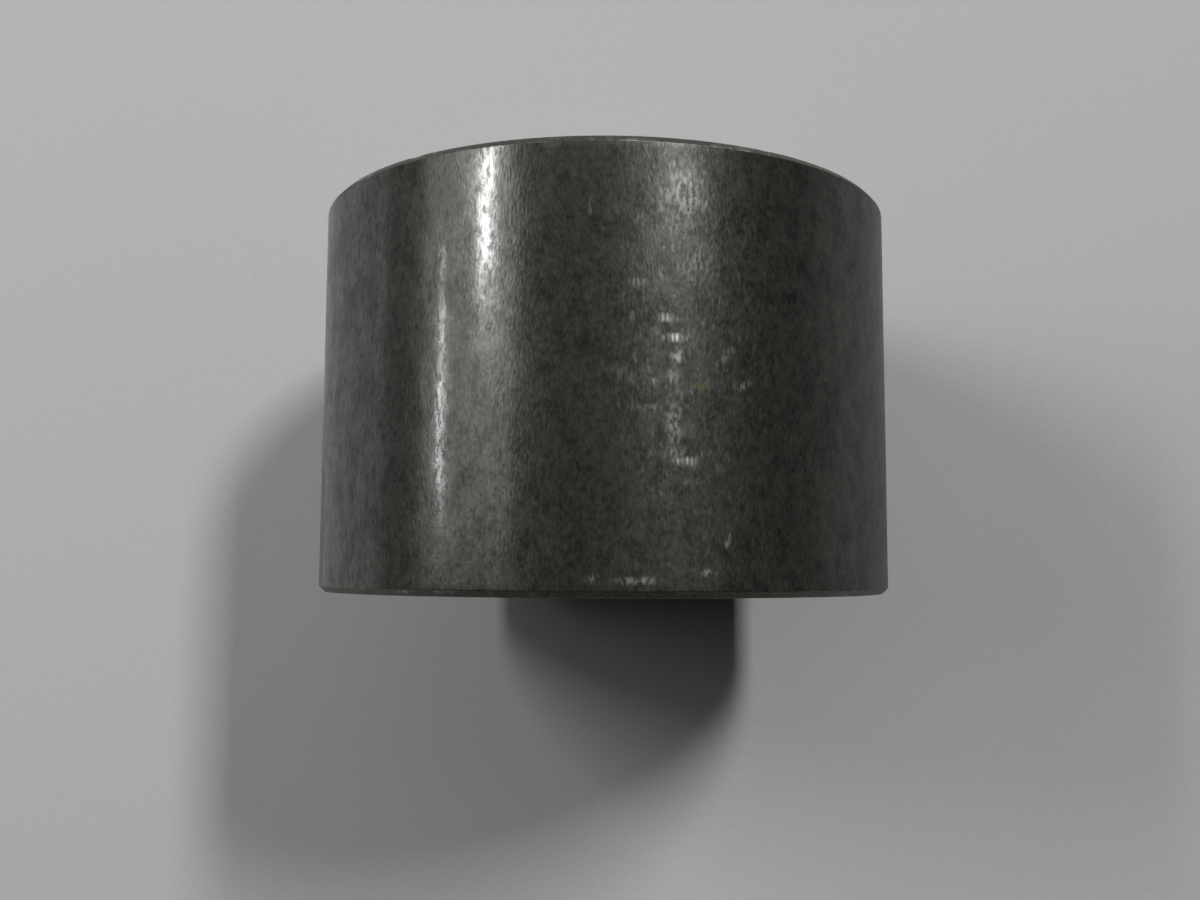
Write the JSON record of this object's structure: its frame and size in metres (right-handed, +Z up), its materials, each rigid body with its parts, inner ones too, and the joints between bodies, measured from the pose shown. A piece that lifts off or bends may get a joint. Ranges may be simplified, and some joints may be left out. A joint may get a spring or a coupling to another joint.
{
  "type": "rigid sleeve coupling",
  "caption": "Short plain steel sleeve that joins two shafts end to end, with a keyed bore, square-ended keys and radial socket set screws.",
  "frame": {"origin": "on the shaft axis at the sleeve's mid-length, which is also the centre of its box", "axes": "+Y along the shaft axis towards end A; +Z up as the sleeve lies on its side, with the keyway and keys lowest; +X towards the set screws that bear on the shafts"},
  "size_m": [0.06, 0.04, 0.06],
  "materials": {
    "sleeve_steel": "dark mottled scale and oil-blackened turned steel, satin, with fine lengthwise grain and bright handling marks",
    "key_steel": "bright drawn key steel, satin",
    "screw_steel": "black oxide alloy steel, low sheen"
  },
  "bodies": {
    "sleeve": {"sleeve": "sleeve_steel"},
    "key_a": {"key_a": "key_steel"},
    "key_b": {"key_b": "key_steel"},
    "key_set_screw_a": {"key_set_screw_a": "screw_steel"},
    "key_set_screw_b": {"key_set_screw_b": "screw_steel"},
    "shaft_set_screw_a": {"shaft_set_screw_a": "screw_steel"},
    "shaft_set_screw_b": {"shaft_set_screw_b": "screw_steel"}
  },
  "joints": [
    {"name": "key_a_slide", "type": "slide", "parent": "sleeve", "child": "key_a", "axis": [0, 1, 0], "range_m": [0, 0.021]},
    {"name": "key_b_slide", "type": "slide", "parent": "sleeve", "child": "key_b", "axis": [0, -1, 0], "range_m": [0, 0.021]},
    {"name": "key_set_screw_a_travel", "type": "slide", "parent": "sleeve", "child": "key_set_screw_a", "axis": [0, 0, -1], "range_m": [0, 0.0125]},
    {"name": "key_set_screw_b_travel", "type": "slide", "parent": "sleeve", "child": "key_set_screw_b", "axis": [0, 0, -1], "range_m": [0, 0.0125]},
    {"name": "shaft_set_screw_a_travel", "type": "slide", "parent": "sleeve", "child": "shaft_set_screw_a", "axis": [1, 0, 0], "range_m": [-0.00125, 0.015]},
    {"name": "shaft_set_screw_b_travel", "type": "slide", "parent": "sleeve", "child": "shaft_set_screw_b", "axis": [1, 0, 0], "range_m": [-0.00125, 0.015]}
  ]
}
